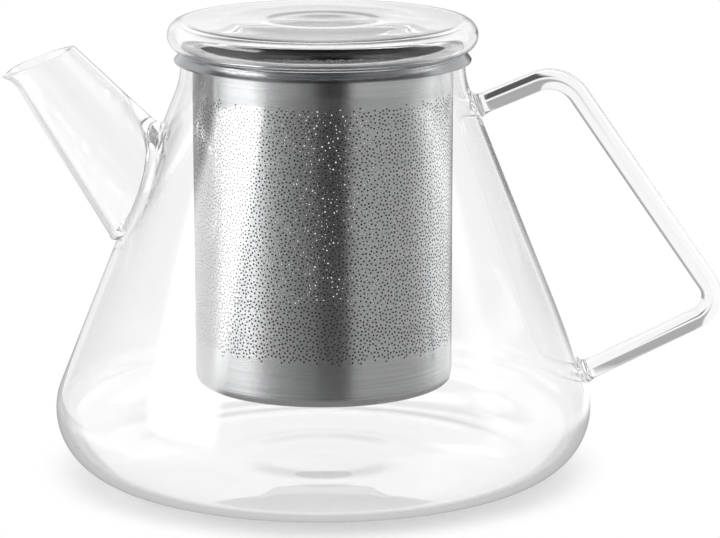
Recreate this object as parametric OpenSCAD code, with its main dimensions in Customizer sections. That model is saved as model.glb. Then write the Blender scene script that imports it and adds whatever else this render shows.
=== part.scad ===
// Glass teapot with a lift-out steel strainer and a glass lid.
// Millimetres, Z up. The foot stands on Z = 0, the spout points to -X and the handle to +X.

/* [Pot body] */
// Largest outside diameter, at the shoulder
body_d = 165; // [140:1:190]
// Radius of the rounded shoulder between the flat base and the cone
shoulder_r = 19.4; // [14:0.2:24]
// Lean of the conical wall from upright, in degrees
wall_lean = 21.8; // [18:0.2:25]
// Outside diameter of the neck
neck_d = 86.4; // [84:0.2:92]
// Radius of the hollow sweep from the cone into the neck
neck_sweep_r = 25; // [15:1:30]
// Straight height of the neck above the sweep
neck_rise = 3.2; // [2.6:0.2:10]
// Thickness of the blown glass
glass_t = 2; // [1.6:0.1:2.6]
// Radius of the melted outer edge of the lip
lip_round = 1.5; // [0.8:0.1:1.5]

/* [Spout] */
// Drop from the neck to where the centre line of the spout leaves the wall
spout_drop = 31.9; // [27:0.1:38]
// Lean of the spout's centre line from upright, in degrees
spout_lean = 38.6; // [34:0.2:44]
// Length of the centre line from the wall to the mouth
spout_len = 47.3; // [40:0.5:56]
// Outside diameter at the mouth
spout_mouth_d = 20.8; // [18:0.2:24]
// Taper on each side, in degrees
spout_taper = 7.7; // [6:0.1:9]
// Slope of the mouth from level, in degrees
mouth_slope = 25.3; // [18:0.1:32]
// Thickness of the spout tube
spout_t = 1.5; // [1.2:0.1:2.5]
// Turn of the pouring lip out of the tube, in degrees
lip_turn = 28; // [20:1:34]
// Height of the tube that the pouring lip is turned out of
lip_h = 3; // [2:0.1:4]
// How much narrower than the mouth the turned lip is, in radius
lip_narrow = 0.9; // [0.6:0.1:1.4]
// Width of the welded band round the foot of the spout
weld_w = 2.4; // [1.5:0.1:4]
// Raised height of the welded band
weld_t = 0.6; // [0.4:0.1:2]

/* [Handle] */
// Diameter of the glass rod
rod_d = 6.4; // [5:0.1:9]
// Drop from the neck to where the upper leg is welded
upper_root_drop = 8.9; // [8:0.1:16]
// Length of the upper leg's centre line, from the wall to the corner
upper_leg = 28.2; // [24:0.2:40]
// Rise of the upper leg from level, in degrees
upper_rise = 22.7; // [10:0.1:35]
// Rise from the shoulder to where the lower leg is welded
lower_root_rise = 2.4; // [1:0.1:14]
// Length of the lower leg's centre line, from the wall to the corner
lower_leg = 48; // [42:0.5:56]
// Rise of the lower leg from level, in degrees
lower_rise = 26; // [15:0.1:35]
// Bend radius of the rod's centre line at the upper corner
upper_bend_r = 11; // [8:0.5:13]
// Bend radius of the rod's centre line at the lower corner
lower_bend_r = 7.5; // [6:0.5:12]
// Swelling of the rod's radius where it is bent hot
bend_swell = 0.06; // [0.04:0.01:0.12]
// How much wider than the rod the welded foot of a leg is
root_flare = 2; // [1:0.1:4]
// Length of the flared foot
root_flare_len = 4; // [2:0.5:6]

/* [Strainer] */
// Gap all round between the steel tube and the inside of the neck
tube_gap = 1.7; // [1:0.1:4]
// Thickness of the tube and base sheet
sheet_t = 0.5; // [0.4:0.1:0.8]
// Gap between the underside of the base and the floor of the pot
floor_gap = 25.4; // [15:0.2:40]
// Height of the pressed base pan
pan_h = 3.2; // [3:0.2:6]
// Outside radius of the base pan's rounded edge
pan_round = 2.6; // [1.6:0.2:2.8]
// Diameter of a drilled hole
hole_d = 1.6; // [1:0.1:2]
// Plain band between the underside and the first row of holes
plain_low = 14; // [12:0.5:24]
// Plain band between the last row of holes and the glass lip
plain_high = 11.6; // [6:0.2:20]
// Rows of holes up the tube
hole_rows = 12; // [6:1:14]
// Holes in each row
holes_per_row = 24; // [12:1:28]
// Rings of holes in the base
base_rings = 3; // [2:1:4]
// Distance between the rings of holes in the base
base_ring_step = 9; // [7:0.5:9]

/* [Strainer rim] */
// How far the foot of the rim's skirt stands out past the neck
rim_reach = 2.4; // [2:0.1:4]
// How far the skirt slopes out from the rim's flat top to its foot
skirt_slope = 2.4; // [1:0.1:2.6]
// Height of the rim from the foot of its skirt to its flat top
rim_h = 3.1; // [2:0.1:5]
// Thickness of the rim sheet
rim_t = 0.6; // [0.5:0.1:0.9]

/* [Lid] */
// How far the lid stands out past the rim
lid_reach = 1.6; // [0.5:0.1:3]
// Radius of the lid's rounded edge; the lid is twice as high
lid_edge_r = 4.6; // [4:0.1:6.5]
// Thickness of the lid glass
lid_t = 2; // [1.6:0.1:2.4]
// Depth of the locating skirt below the rim
lid_skirt = 10; // [6:0.5:16]
// Gap between the locating skirt and the strainer
lid_gap = 0.8; // [0.5:0.1:1.5]

/* [Hidden] */
$fn = 96;

foot_r = body_d / 2 - shoulder_r;
cone_foot_r = foot_r + shoulder_r * cos(wall_lean);
cone_foot_z = shoulder_r + shoulder_r * sin(wall_lean);
neck_r = neck_d / 2;
neck_corner_z = cone_foot_z + (cone_foot_r - neck_r) / tan(wall_lean);
sweep_len = neck_sweep_r * tan(wall_lean / 2);
sweep_z = neck_corner_z + sweep_len;
lip_z = sweep_z + neck_rise;

function wall_r(z) = cone_foot_r - (z - cone_foot_z) * tan(wall_lean);

spout_root_z = neck_corner_z - spout_drop;
spout_foot = [-wall_r(spout_root_z), 0, spout_root_z];
spout_dir = [-sin(spout_lean), 0, cos(spout_lean)];
mouth = spout_foot + spout_len * spout_dir;
mouth_r = spout_mouth_d / 2;
channel_len = spout_len + 0.77 * spout_mouth_d;
lip_tube_r = mouth_r - lip_narrow;
lip_start = [-mouth_r - lip_h * tan(spout_taper), 0, -lip_h];
lip_tube_foot = 0.9 * lip_tube_r;
lip_tube_h = 2.3 * lip_tube_r;
mouth_cut = 4 * spout_mouth_d;

rod_r = rod_d / 2;
bend_rod_r = rod_r + bend_swell;
run_in = 0.6;
upper_root_z = neck_corner_z - upper_root_drop;
upper_root = [wall_r(upper_root_z), upper_root_z];
upper_corner = upper_root + upper_leg * [cos(upper_rise), sin(upper_rise)];
lower_root_z = cone_foot_z + lower_root_rise;
lower_root = [wall_r(lower_root_z), lower_root_z];
lower_corner = lower_root + lower_leg * [cos(lower_rise), sin(lower_rise)];
grip = lower_corner - upper_corner;
grip_len = norm(grip);
grip_drop = atan2(-grip[1], grip[0]);
upper_turn = upper_rise + grip_drop;
lower_turn = 180 - grip_drop - lower_rise;
upper_cut = upper_bend_r * tan(upper_turn / 2);
lower_cut = lower_bend_r * tan(lower_turn / 2);

tube_r = neck_r - glass_t - tube_gap;
tube_inner_r = tube_r - sheet_t;
base_z = glass_t + floor_gap;
strainer_depth = lip_z - base_z;
pan_top_z = base_z + pan_h;
row_step = (strainer_depth - plain_low - plain_high) / (hole_rows - 1);

rim_r = neck_r + rim_reach;
rim_flat_r = rim_r - skirt_slope;
rim_top_z = lip_z + rim_t;
skirt_dir = [skirt_slope, -rim_h] / norm([skirt_slope, rim_h]);
skirt_in = rim_t * [skirt_dir[1], -skirt_dir[0]];
skirt_foot = [rim_r, rim_top_z - rim_h];
skirt_inner_top = [rim_flat_r, rim_top_z] + skirt_in;
under_r = skirt_inner_top[0] + (skirt_inner_top[1] - lip_z) * skirt_slope / rim_h;

lid_edge_c = rim_r + lid_reach - lid_edge_r;
lid_mid_z = rim_top_z + lid_edge_r;
skirt_r = tube_inner_r - lid_gap;

glass_tint = [0.80, 0.88, 0.90, 0.45];
steel_tint = [0.66, 0.67, 0.69];

// Half section of the solid pot, drawn smaller on every side by inset, and cut off level at top.
module pot_section(inset, top) {
    side = [-cos(wall_lean), -sin(wall_lean)] * inset;
    cone_foot = [cone_foot_r, cone_foot_z] + side;
    cone_head = [neck_r + sweep_len * sin(wall_lean), neck_corner_z - sweep_len * cos(wall_lean)] + side;
    difference() {
        polygon([
            [0, inset],
            [foot_r, inset],
            [foot_r, shoulder_r],
            cone_foot,
            cone_head,
            [neck_r - inset, sweep_z],
            [neck_r - inset, top],
            [0, top],
        ]);
        translate([neck_r + neck_sweep_r, sweep_z]) circle(r = neck_sweep_r + inset);
    }
    translate([foot_r, shoulder_r]) circle(r = shoulder_r - inset);
}

// The pot as a solid block, with the melted outer edge of its lip.
module pot_block() {
    rotate_extrude() {
        pot_section(0, lip_z - lip_round);
        translate([0, lip_z - lip_round - 0.01]) square([neck_r - lip_round, lip_round + 0.01]);
        translate([neck_r - lip_round, lip_z - lip_round]) circle(r = lip_round);
    }
}

// Places its children at the mouth of the spout, with their Z along the spout.
module at_mouth() {
    translate(mouth) rotate([0, -spout_lean, 0]) children();
}

// The spout's cone from inside the pot to past the mouth, wider all round by grow.
module spout_cone(grow) {
    at_mouth() translate([0, 0, -channel_len])
        cylinder(
            h = channel_len + 10,
            r1 = mouth_r + channel_len * tan(spout_taper) + grow,
            r2 = mouth_r - 10 * tan(spout_taper) + grow
        );
}

// The short tube, leaning further out than the spout, that forms the pouring lip.
module lip_tube(grow) {
    at_mouth() translate(lip_start) rotate([0, -lip_turn, 0])
        translate([lip_tube_r, 0, -lip_tube_foot]) cylinder(h = lip_tube_h, r = lip_tube_r + grow);
}

// The whole inside of the spout, carried through the wall of the pot.
module spout_channel() {
    spout_cone(-spout_t);
    lip_tube(-spout_t);
}

// A straight run of rod in the plane of the handle, between two points given as [x, z].
// Both ends are carried a little way into the next bend or foot.
module rod_run(from, to) {
    run = to - from;
    translate([from[0], 0, from[1]]) rotate([0, atan2(run[0], run[1]), 0]) translate([0, 0, -run_in])
        cylinder(h = norm(run) + 2 * run_in, r = rod_r);
}

// A welded foot: the end of a leg spread out to meet the wall, carried a little into it.
module rod_foot(root, rise) {
    translate([root[0], 0, root[1]]) rotate([0, 90 - rise, 0]) translate([0, 0, -2])
        cylinder(h = root_flare_len + 2, r1 = rod_r + root_flare / 2, r2 = bend_rod_r);
}

// A bend of rod about a centre given as [x, z], of radius bend_r, from one angle (from level) through turn.
module rod_bend(centre, bend_r, from, turn) {
    translate([centre[0], 0, centre[1]]) rotate([90, 0, 0]) rotate([0, 0, from])
        rotate_extrude(angle = turn) translate([bend_r, 0]) circle(r = bend_rod_r);
}

module pot_body() {
    color(glass_tint)
        difference() {
            pot_block();
            rotate_extrude() pot_section(glass_t, lip_z + 1);
            spout_channel();
        }
}

module spout() {
    color(glass_tint)
        difference() {
            union() {
                spout_cone(0);
                lip_tube(0);
                intersection() {
                    spout_cone(weld_t);
                    rotate_extrude() pot_section(-weld_w, lip_z);
                }
            }
            spout_channel();
            translate(mouth) rotate([0, -mouth_slope, 0])
                translate([-mouth_cut / 2, -mouth_cut / 2, 0]) cube(mouth_cut);
            pot_block();
        }
}

module handle() {
    upper_dir = [cos(upper_rise), sin(upper_rise)];
    lower_dir = [cos(lower_rise), sin(lower_rise)];
    grip_dir = grip / grip_len;
    upper_end = upper_corner - upper_cut * upper_dir;
    lower_end = lower_corner - lower_cut * lower_dir;
    upper_bend = upper_end + upper_bend_r * [sin(upper_rise), -cos(upper_rise)];
    lower_bend = lower_end + lower_bend_r * [-sin(lower_rise), cos(lower_rise)];
    color(glass_tint)
        difference() {
            union() {
                rod_foot(upper_root, upper_rise);
                rod_run(upper_root + root_flare_len * upper_dir, upper_end);
                rod_bend(upper_bend, upper_bend_r, 90 + upper_rise - upper_turn, upper_turn);
                rod_run(upper_corner + upper_cut * grip_dir, lower_corner - lower_cut * grip_dir);
                rod_bend(lower_bend, lower_bend_r, lower_rise - 90, lower_turn);
                rod_run(lower_root + root_flare_len * lower_dir, lower_end);
                rod_foot(lower_root, lower_rise);
            }
            pot_block();
        }
}

module infuser_wall() {
    color(steel_tint)
        difference() {
            translate([0, 0, pan_top_z]) cylinder(h = lip_z - pan_top_z, r = tube_r);
            translate([0, 0, pan_top_z - 1]) cylinder(h = lip_z - pan_top_z + 2, r = tube_inner_r);
            for (row = [0 : hole_rows - 1])
                for (hole = [0 : holes_per_row - 1])
                    rotate([0, 0, (hole + (row % 2) / 2) * 360 / holes_per_row])
                        translate([tube_inner_r - 1, 0, base_z + plain_low + row * row_step])
                            rotate([0, 90, 0])
                                cylinder(h = sheet_t + 2, r = hole_d / 2);
        }
}

module infuser_base() {
    color(steel_tint)
        difference() {
            rotate_extrude() {
                translate([0, base_z]) square([tube_r - pan_round, sheet_t]);
                translate([tube_inner_r, base_z + pan_round]) square([sheet_t, pan_h - pan_round]);
                intersection() {
                    translate([tube_r - pan_round, base_z + pan_round])
                        difference() {
                            circle(r = pan_round);
                            circle(r = pan_round - sheet_t);
                        }
                    translate([tube_r - pan_round, base_z]) square(pan_round);
                }
            }
            for (ring = [1 : base_rings])
                for (hole = [0 : 6 * ring - 1])
                    rotate([0, 0, hole * 60 / ring])
                        translate([ring * base_ring_step, 0, base_z - 1])
                            cylinder(h = sheet_t + 2, r = hole_d / 2);
        }
}

module infuser_rim() {
    color(steel_tint)
        rotate_extrude()
            polygon([
                [tube_inner_r, lip_z],
                [under_r, lip_z],
                skirt_foot + skirt_in,
                skirt_foot,
                [rim_flat_r, rim_top_z],
                [tube_inner_r, rim_top_z],
            ]);
}

module lid() {
    color(glass_tint)
        rotate_extrude()
            difference() {
                union() {
                    translate([0, rim_top_z]) square([lid_edge_c, 2 * lid_edge_r]);
                    translate([lid_edge_c, lid_mid_z]) circle(r = lid_edge_r);
                    translate([0, rim_top_z - lid_skirt]) square([skirt_r, lid_skirt + 1]);
                }
                translate([0, rim_top_z + lid_t]) square([lid_edge_c, 2 * (lid_edge_r - lid_t)]);
                translate([lid_edge_c, lid_mid_z]) circle(r = lid_edge_r - lid_t);
                translate([0, rim_top_z - lid_skirt - 1]) square([skirt_r - lid_t, lid_skirt + lid_t + 2]);
            }
}

pot_body();
spout();
handle();
infuser_wall();
infuser_base();
infuser_rim();
lid();
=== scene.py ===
import math
import random

import bmesh
import bpy
import numpy as np
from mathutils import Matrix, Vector
from mathutils.geometry import delaunay_2d_cdt


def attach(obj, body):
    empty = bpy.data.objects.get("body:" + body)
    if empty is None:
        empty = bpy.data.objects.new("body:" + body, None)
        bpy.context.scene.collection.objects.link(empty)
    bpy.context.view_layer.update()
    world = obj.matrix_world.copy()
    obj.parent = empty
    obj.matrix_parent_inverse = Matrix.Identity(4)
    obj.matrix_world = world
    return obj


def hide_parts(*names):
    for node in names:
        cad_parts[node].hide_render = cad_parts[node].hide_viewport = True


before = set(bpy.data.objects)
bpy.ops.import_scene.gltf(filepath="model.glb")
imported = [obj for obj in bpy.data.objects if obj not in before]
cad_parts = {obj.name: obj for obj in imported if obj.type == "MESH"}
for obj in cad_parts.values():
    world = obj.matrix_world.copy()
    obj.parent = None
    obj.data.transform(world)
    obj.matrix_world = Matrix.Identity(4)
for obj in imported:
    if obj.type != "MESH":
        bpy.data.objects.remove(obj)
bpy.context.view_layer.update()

# Shapes are worked out in millimetres, in the frame of the solids, and become metres at the end.
MM = 0.001
LEVEL_ACROSS = np.array([0, 1.0, 0])

# The blown pot: rounded shoulder, leaning wall, hollow sweep and neck.
FOOT_R = 63.1
SHOULDER_R = 19.4
WALL_LEAN = math.radians(21.8)
NECK_R = 43.2
SWEEP_R = 25.0
SWEEP_Z = 126.2
NECK_RINGS_Z = (127.2, 128.2)
LIP_Z = 129.4
LIP_ROUND_R = 1.0
GLASS_T = 2.0

# Its floor: a low punt, and on the inside a mound, a swell round it and fine rings.
PUNT_R = 50
PUNT_RISE = 0.9
MOUND_R = 30
MOUND_EDGE = 14
MOUND_RISE = 0.37
SWELL_R = 36
SWELL_WIDTH = 6
SWELL_RISE = 0.04
RINGS_R = 14
RINGS_STEP = 2.2
RINGS_RISE = 0.02

# The spout, along its centre line from the mouth.
SPOUT_LEAN = math.radians(38.6)
SPOUT_MOUTH = np.array([-85.96, 0.0, 127.08])
SPOUT_MOUTH_R = 10.3
SPOUT_TAPER = math.tan(math.radians(7.7))
SPOUT_ROOT_FROM = -75
SPOUT_ROOT_TO = -20
MOUTH_SLOPE = math.radians(21.3)
MOUTH_POLISH = 0.6
LIP_FLARE = 2.7
LIP_FLARE_LEN = 6.0
LIP_FLARE_FALL = 1.6
LIP_DROOP = 0.7
LIP_DROOP_FALL = 6
MOUTH_T = 0.9
SPOUT_T = 1.1
MOUTH_THIN_LEN = 30
CROTCH_T = 2.0
CROTCH_LEN = 15

# The spout's welds: how far they run along the tube and across the wall, with more or less above and below.
SPOUT_WELD_ALONG = 3.6
SPOUT_WELD_ALONG_ABOVE = 1.6
SPOUT_WELD_ACROSS = 1.7
SPOUT_WELD_ACROSS_ABOVE = 0.4
SPOUT_WELD_ACROSS_BELOW = -4.0
SPOUT_WELD_LIFT_BELOW = 1.3
BORE_WELD_ALONG = 2.4
BORE_WELD_ACROSS = 2.2

# The handle, a rod bent at two corners, as [x, z], and its welds, along the rod and across the wall.
ROD_R = 3.2
UPPER_ROOT = np.array([46.77, 112.5])
UPPER_CORNER = np.array([72.78, 123.38])
LOWER_CORNER = np.array([123.3, 50.04])
LOWER_ROOT = np.array([80.15, 29.0])
UPPER_BEND_R = 11.0
LOWER_BEND_R = 7.5
UPPER_WELD = (3.4, 2.4)
LOWER_WELD = (3.6, 2.6)
UPPER_WELD_END = 9
LOWER_WELD_END = 11
ROD_ROOT_SPAN = 9

# The strainer: a rolled tube, a pressed pan under it and a turned-over rim.
TUBE_R = 39.5
TUBE_TOP_Z = 128.9
SHEET_T = 0.5
HOLES_FROM_Z = 40.4
HOLES_TO_Z = 118.8
HOLE_R = 0.33
HOLE_CORNERS = 6
HOLE_TURN = 0.7
TUBE_HOLE_STEP = 1.0
TUBE_HOLE_RINGS = 900
BASE_Z = 27.4
PAN_TOP_Z = 30.6
PAN_GAP = 0.05
PAN_ROUND_R = 2.6
PAN_FLOOR_R = 31.0
PAN_HOLES_R = 29.6
PAN_HOLE_STEP = 1.3
PAN_HOLE_RINGS = 40
RIM_TOP_Z = 130.0
RIM_T = 0.6
RIM_FLAT_R = 43.2
RIM_FOOT_R = 45.6
RIM_FOOT_Z = 126.9
RIM_INNER_BEND_R = 0.8
RIM_OUTER_BEND_R = 0.75
RIM_TIP = 0.2

# The lid: a flat top with a rolled edge, and a skirt.
LID_SEAT_Z = 130.05
LID_EDGE_R = 4.6
LID_EDGE_C = 42.6
LID_T = 1.3
LID_SAG = 0.2
LID_SAG_R = 30
LID_DIMPLE = 0.6
LID_DIMPLE_R = 8
LID_RING = 0.12
LID_RING_R = 17
LID_RING_WIDTH = 2.5
LID_WAVE = 0.03
LID_WAVE_STEP = 2.7
LID_SKIRT_R = 38.2
LID_SKIRT_FOOT_Z = 120.0
LID_LEDGE_BEND_R = 0.8
LID_HOLLOW_BEND_R = 1.6
LID_FOOT_R = 1.0

# The camera, in metres and radians.
CAMERA_PLACE = (0, -1.09575, 0.30080)
CAMERA_DOWN = math.radians(12.305)
CAMERA_TURN = -0.0103
CAMERA_LENS = 182.46

# Grey levels round the pot, by the turn about its axis in degrees: 0 is the side that the camera looks from,
# and the turn grows to the right. Panels stand at table height and soft boxes above them.
PANELS = [(-180, 0.8), (-176, 0.4), (-164, 0.4), (-156, 0.46), (-146, 0.42), (-136, 0.33), (-114, 0.27),
          (-106, 0.45), (-98, 1.2), (-86, 1.7), (-64, 1.8), (-56, 1.2), (-48, 0.7), (-38, 0.5), (-20, 0.3),
          (-8, 0.2), (-3, 0.1), (3, 0.05), (15, 0.05), (20, 0.14), (25, 0.45), (32, 0.58), (80, 0.56),
          (94, 0.8), (112, 1.4), (142, 1.3), (154, 0.7), (164, 0.18), (177, 0.18), (180, 0.8)]
BOXES = [(-180, 1.1), (-160, 1.1), (-148, 1.0), (-98, 1.0), (-90, 6.0), (-62, 7.0), (-55, 7.0), (-48, 0.6),
         (-20, 0.35), (20, 0.3), (60, 0.4), (74, 0.6), (92, 3.2), (104, 3.2), (124, 1.0), (148, 1.0),
         (160, 1.1), (180, 1.1)]
BOX_DIM = 1.1

# Surfaces that light has passed once it has gone into a wall or a rod and out again,
# and mirrorings after which it counts as caught in the thickness of the glass.
IN_GLASS = 2.0
CAUGHT_AFTER = 4.5

# Kinds of node that come up often, and their usual settings.
MATH = "ShaderNodeMath"
MIX = "ShaderNodeMix"
FADE = "ShaderNodeMapRange"
RAMP = "ShaderNodeValToRGB"
TIMES = {"operation": "MULTIPLY"}
COLOUR = {"data_type": "RGBA"}


def linear(hex_colour, alpha=1.0):
    """An sRGB hex colour as the linear RGBA that shaders take."""
    channels = [int(hex_colour[k:k + 2], 16) / 255 for k in (1, 3, 5)]
    return [c / 12.92 if c <= 0.04045 else ((c + 0.055) / 1.055) ** 2.4 for c in channels] + [alpha]


def grey(level):
    """A linear grey level as RGBA."""
    return (level, level, level, 1)


def add_node(tree, kind, settings=None, **links):
    """Adds a node. Settings are attributes or inputs; links are inputs with the socket that each reads.

    An input is given by its name, or by its place: 3 in the settings, i3 in the links.
    """
    made = tree.nodes.new(kind)
    for key, value in (settings or {}).items():
        if isinstance(key, int) or key in made.inputs:
            made.inputs[key].default_value = value
        else:
            setattr(made, key, value)
    for key, socket in links.items():
        place = int(key[1:]) if key[0] == "i" and key[1:].isdigit() else key.replace("_", " ")
        tree.links.new(socket, made.inputs[place])
    return made


def eased(w):
    """A share from 0 to 1 that starts and stops gently."""
    return w * w * (3 - 2 * w)


def arc(centre, radius, start, stop, steps):
    """Points of an arc in a half section, angles in degrees from level."""
    angles = np.radians(np.linspace(start, stop, steps + 1))
    return [(centre[0] + radius * math.cos(a), centre[1] + radius * math.sin(a)) for a in angles]


def line(start, stop, steps):
    """Points between two corners of a half section, without the first."""
    return [tuple(np.add(start, np.subtract(stop, start) * k / steps)) for k in range(1, steps + 1)]


class Skin:
    """The points and faces of one closed piece, in millimetres."""

    def __init__(self):
        self.points = []
        self.faces = []

    def ring(self, points):
        first = len(self.points)
        self.points.extend([tuple(map(float, p)) for p in points])
        return list(range(first, len(self.points)))

    def band(self, one, other):
        for k in range(len(one)):
            n = (k + 1) % len(one)
            self.faces.append((one[k], one[n], other[n], other[k]))

    def bands(self, rings):
        for one, other in zip(rings, rings[1:]):
            self.band(one, other)

    def fan(self, ring, tip):
        for k in range(len(ring)):
            self.faces.append((ring[k], ring[(k + 1) % len(ring)], tip))

    def piece(self, name, finish, body, nodes, crease=None):
        mesh = bpy.data.meshes.new(name)
        mesh.from_pydata([Vector(p) * MM for p in self.points], [], self.faces)
        work = bmesh.new()
        work.from_mesh(mesh)
        bmesh.ops.recalc_face_normals(work, faces=work.faces)
        work.to_mesh(mesh)
        work.free()
        mesh.shade_smooth()
        if crease:
            mesh.set_sharp_from_angle(angle=math.radians(crease))
        made = bpy.data.objects.new(name, mesh)
        bpy.context.scene.collection.objects.link(made)
        mesh.materials.append(finish)
        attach(made, body)
        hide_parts(*nodes)
        return made


def turned(skin, section, columns, closed=True):
    """A section turned round the axis. Its ends either meet each other or lie on the axis."""
    angles = 2 * math.pi * np.arange(columns) / columns
    rings = []
    for r, z in section:
        if r < 1e-6:
            rings.append(skin.ring([(0, 0, z)]))
        else:
            rings.append(skin.ring([(r * math.cos(a), r * math.sin(a), z) for a in angles]))
    pairs = list(zip(rings, rings[1:]))
    if closed:
        pairs.append((rings[-1], rings[0]))
    for one, other in pairs:
        if len(one) == 1:
            skin.fan(other, one[0])
        elif len(other) == 1:
            skin.fan(one, other[0])
        else:
            skin.band(one, other)


class Wall:
    """A blown wall: a half section turned round the axis, from its foot on the axis up to the lip."""

    def __init__(self, section):
        self.rz = np.array(section, float)
        self.steps = np.diff(self.rz, axis=0)
        self.lengths = np.hypot(self.steps[:, 0], self.steps[:, 1])
        self.along = np.concatenate([[0], np.cumsum(self.lengths)])

    def nearest(self, p):
        """Angle, distance along the section, and height above the wall, of a point."""
        angle = math.atan2(p[1], p[0])
        q = np.array([math.hypot(p[0], p[1]), p[2]])
        t = np.einsum("ij,ij->i", q - self.rz[:-1], self.steps) / self.lengths ** 2
        t = np.clip(t, 0, 1)
        off = q - (self.rz[:-1] + self.steps * t[:, None])
        k = int(np.argmin(np.einsum("ij,ij->i", off, off)))
        out = np.array([self.steps[k][1], -self.steps[k][0]]) / self.lengths[k]
        return angle, self.along[k] + t[k] * self.lengths[k], float(off[k] @ out)

    def at(self, angle, along):
        r = np.interp(along, self.along, self.rz[:, 0])
        z = np.interp(along, self.along, self.rz[:, 1])
        return np.array([r * math.cos(angle), r * math.sin(angle), z])

    def out(self, p):
        """Direction straight out of the wall, near a point."""
        step = 0.05
        here = self.nearest(p)[2]
        slope = [self.nearest(p + step * np.eye(3)[k])[2] - here for k in range(3)]
        return np.array(slope) / np.linalg.norm(slope)


class TubeLine:
    """One line of a tube's side, on which t runs along the tube. Its side points out from the tube's axis."""

    def __init__(self, side, place):
        self.side = side
        self.place = place

    def __call__(self, t):
        return self.place(t)


def weld(wall, tube, low, high, along, across, lift, steps):
    """One line of a welded joint, from a point on the wall to a point on the tube.

    tube(t) runs out of the wall between low and high. The line leaves the tube at the distance along,
    bends near the corner, which is raised by lift, and runs into the wall at the distance across.
    """
    halvings = 40
    for _ in range(halvings):
        middle = (low + high) / 2
        if wall.nearest(tube(middle))[2] < 0:
            low = middle
        else:
            high = middle
    corner = tube(low)
    out = wall.out(corner)
    away = tube.side - (tube.side @ out) * out
    away /= np.linalg.norm(away)
    angle, s, _ = wall.nearest(corner + across * away)
    foot = wall.at(angle, s)
    head = tube(low + along)
    bend = corner + lift * out
    w = np.linspace(0, 1, steps + 1)[:, None]
    return low, (angle, s), (1 - w) ** 2 * foot + 2 * w * (1 - w) * bend + w ** 2 * head


def floor_rise(r, inside):
    """How far the pot's floor lies over its foot. The inside keeps what gathering and spinning left."""
    rise = PUNT_RISE * (1 - eased(min(1.0, r / PUNT_R)))
    if inside:
        rise += MOUND_RISE * eased(min(1.0, max(0.0, (MOUND_R - r) / MOUND_EDGE)))
        rise += SWELL_RISE * math.exp(-((r - SWELL_R) / SWELL_WIDTH) ** 2)
        rise += RINGS_RISE * math.cos(r / RINGS_STEP) * math.exp(-(r / RINGS_R) ** 2)
    return rise


def pot_sections():
    """Half sections of the outside and the inside of the blown pot, each from the axis up to the lip."""
    lean = math.degrees(WALL_LEAN)
    sides = []
    for inset in (0.0, GLASS_T):
        round_r = SHOULDER_R - inset
        cone_foot = (FOOT_R + round_r * math.cos(WALL_LEAN), SHOULDER_R + round_r * math.sin(WALL_LEAN))
        sweep = arc((NECK_R + SWEEP_R, SWEEP_Z), SWEEP_R + inset, 180 + lean, 180, 12)
        section = [(r, inset + floor_rise(r, inset > 0)) for r in np.linspace(0, FOOT_R - 1, 52)]
        section += arc((FOOT_R, SHOULDER_R), round_r, -90, lean, 26)
        section += line(cone_foot, sweep[0], 44)[:-1]
        section += sweep + [(NECK_R - inset, z) for z in NECK_RINGS_Z]
        sides.append(section)
    outside, inside = sides
    lip = (NECK_R - LIP_ROUND_R, LIP_Z - LIP_ROUND_R)
    outside += arc(lip, LIP_ROUND_R, 0, 90, 5)[1:]
    inside += arc(lip, LIP_ROUND_R, 180, 90, 5)[1:-1]
    return outside, inside


def spout_side(angle, root=None):
    """One line of the spout's outside, or of its bore if its root is given. Angle 0 is below, at the lip."""
    axis = np.array([-math.sin(SPOUT_LEAN), 0, math.cos(SPOUT_LEAN)])
    down_side = np.array([-math.cos(SPOUT_LEAN), 0, -math.sin(SPOUT_LEAN)])
    side = math.cos(angle) * down_side + math.sin(angle) * LEVEL_ACROSS
    below, above = max(0.0, math.cos(angle)), max(0.0, -math.cos(angle))
    flare_here = LIP_FLARE * below ** LIP_FLARE_FALL
    # The mouth is cut on a slope, so that the tube is longer below than above, and the lip's tip droops.
    slope = math.tan(SPOUT_LEAN - MOUTH_SLOPE) * math.cos(angle)
    top = slope * (SPOUT_MOUTH_R + flare_here) / (1 + slope * SPOUT_TAPER)
    top -= LIP_DROOP * below ** LIP_DROOP_FALL

    def place(t):
        down = max(0.0, top - t)
        r = SPOUT_MOUTH_R - t * SPOUT_TAPER
        r += flare_here * max(0.0, 1 - down / LIP_FLARE_LEN) ** 2
        if root is not None:
            # The wall is thin at the mouth and thick in the crotch above the joint.
            near = min(1.0, max(0.0, 1 - (t - root) / CROTCH_LEN))
            r -= MOUTH_T + (SPOUT_T - MOUTH_T) * min(1.0, down / MOUTH_THIN_LEN)
            r -= CROTCH_T * near ** 1.5 * above ** 2
        return SPOUT_MOUTH + t * axis + r * side

    return TubeLine(side, place), top


def in_plane(p):
    """A point or direction given as [x, z], in the plane of spout and handle."""
    return np.array([p[0], 0, p[1]])


def rod_side(root, way, out, angle):
    """One line of the rod where it runs out of the wall: along its way if out is 1, against it if -1."""
    side = math.cos(angle) * in_plane([-way[1], way[0]]) + math.sin(angle) * LEVEL_ACROSS
    return TubeLine(side, lambda t: in_plane(root) + t * out * in_plane(way) + ROD_R * side)


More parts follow.
